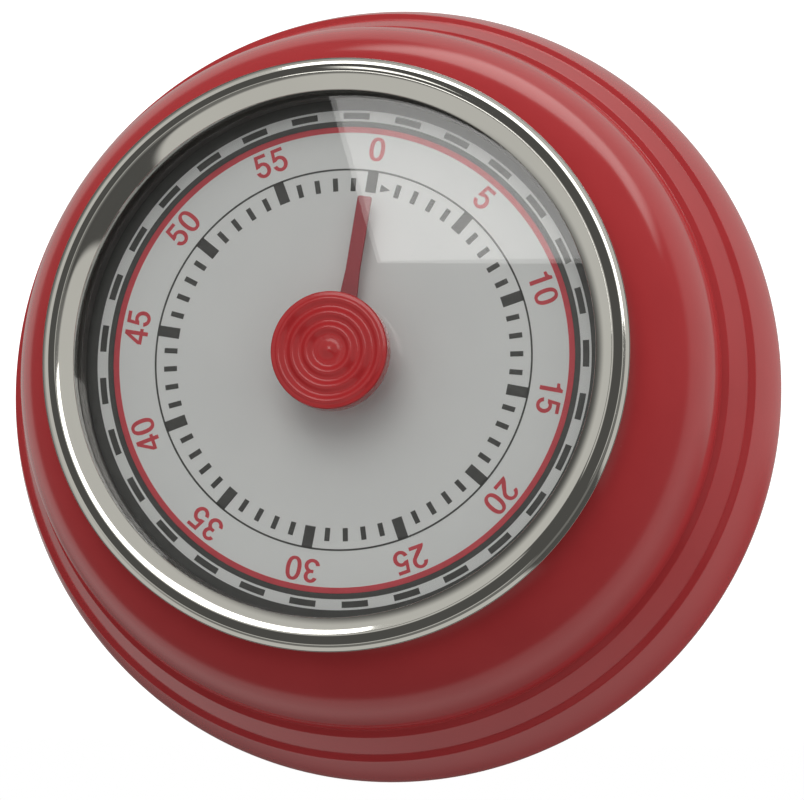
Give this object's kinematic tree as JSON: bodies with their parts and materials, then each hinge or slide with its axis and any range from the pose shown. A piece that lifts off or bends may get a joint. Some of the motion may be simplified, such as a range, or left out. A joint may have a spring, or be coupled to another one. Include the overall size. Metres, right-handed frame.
{
  "type": "kitchen timer",
  "caption": "Round clockwork kitchen timer with a stepped body, a chrome bezel and lens that turn with the hub and pointer, a printed dial and a magnetic back.",
  "frame": {"origin": "centre of the back, on the surface that the magnet and the foot ring rest on", "axes": "+Z out of the dial, +Y towards the 0 mark, +X to the right of someone reading the dial"},
  "size_m": [0.07, 0.07, 0.0336],
  "materials": {
    "enamel": "gloss red enamel",
    "chrome": "bright plated",
    "lens": "clear polished",
    "red_plastic": "satin moulded red",
    "dial": "printed light grey paint",
    "rubber": "matt black",
    "black_plastic": "moulded black",
    "steel": "bright steel",
    "spring_steel": "blued spring steel",
    "brass": "stamped brass",
    "ferrite": "sintered dark grey"
  },
  "bodies": {
    "case": {"housing_shell": "enamel", "dial_plate": "dial", "back_cover": "steel", "magnet_cup": "steel", "magnet": "ferrite", "foot_ring": "rubber", "cover_screw_1": "steel", "cover_screw_2": "steel", "cover_screw_3": "steel", "bell": "steel", "bell_post": "brass", "bell_screw": "steel", "front_plate": "brass", "back_plate": "brass", "pillar_1": "steel", "pillar_2": "steel", "pillar_3": "steel", "pillar_screw_1": "steel", "pillar_screw_2": "steel", "pillar_screw_3": "steel", "movement_screw_1": "steel", "movement_screw_2": "steel", "movement_screw_3": "steel", "spring_post": "steel", "mainspring": "spring_steel", "hairspring": "spring_steel", "strike_spring": "spring_steel", "hammer_spring": "spring_steel"},
    "setting": {"bezel_ring": "chrome", "lens": "lens", "lens_retainer": "black_plastic", "hub_cap": "red_plastic", "pointer_hand": "red_plastic", "main_arbor": "steel", "main_wheel": "brass", "ratchet_wheel": "steel", "click": "steel", "release_cam": "brass"},
    "second_arbor": {"second_pinion": "steel", "second_wheel": "brass"},
    "third_arbor": {"third_pinion": "steel", "third_wheel": "brass"},
    "escape_arbor": {"escape_pinion": "steel", "escape_wheel": "brass"},
    "pallet": {"pallet_lever": "steel"},
    "balance": {"balance_staff": "steel", "balance_wheel": "brass"},
    "strike": {"strike_arbor": "steel", "star_wheel": "brass"},
    "hammer": {"hammer_arbor": "steel", "hammer_head": "brass"},
    "detent": {"detent_lever": "steel"}
  },
  "joints": [
    {"name": "dial_setting", "type": "hinge", "parent": "case", "child": "setting", "pos_m": [0, 0, 0], "axis": [0, 0, 1], "range_deg": [-357, 0]},
    {"name": "second_turn", "type": "hinge", "parent": "case", "child": "second_arbor", "pos_m": [-0.01363, -0.00496, 0], "axis": [0, 0, 1], "range_deg": [0, 1785]},
    {"name": "third_turn", "type": "hinge", "parent": "case", "child": "third_arbor", "pos_m": [-0.00746, -0.01358, 0], "axis": [0, 0, 1], "range_deg": [-10710, 0]},
    {"name": "escape_turn", "type": "hinge", "parent": "case", "child": "escape_arbor", "pos_m": [0.00119, -0.01545, 0], "axis": [0, 0, 1], "range_deg": [0, 64260]},
    {"name": "pallet_rock", "type": "hinge", "parent": "case", "child": "pallet", "pos_m": [0.00769, -0.01288, 0], "axis": [0, 0, 1], "range_deg": [-6, 6]},
    {"name": "balance_swing", "type": "hinge", "parent": "case", "child": "balance", "pos_m": [0.01358, -0.00746, 0], "axis": [0, 0, 1], "range_deg": [-120, 120], "stiffness_Nm_per_rad": 0.0001},
    {"name": "strike_turn", "type": "hinge", "parent": "case", "child": "strike", "pos_m": [0.00725, 0.01256, 0], "axis": [0, 0, 1], "range_deg": [0, 1080]},
    {"name": "hammer_rock", "type": "hinge", "parent": "case", "child": "hammer", "pos_m": [-0.00401, 0.01497, 0], "axis": [0, 0, 1], "range_deg": [-1.9, 8], "stiffness_Nm_per_rad": 0.001},
    {"name": "detent_drop", "type": "hinge", "parent": "case", "child": "detent", "pos_m": [0.01405, 0.00655, 0], "axis": [0, 0, 1], "range_deg": [0, 4]}
  ],
  "couplings": [
    {"joint": "second_turn", "follows": "dial_setting", "ratio": -5},
    {"joint": "third_turn", "follows": "dial_setting", "ratio": 30},
    {"joint": "escape_turn", "follows": "dial_setting", "ratio": -180}
  ]
}
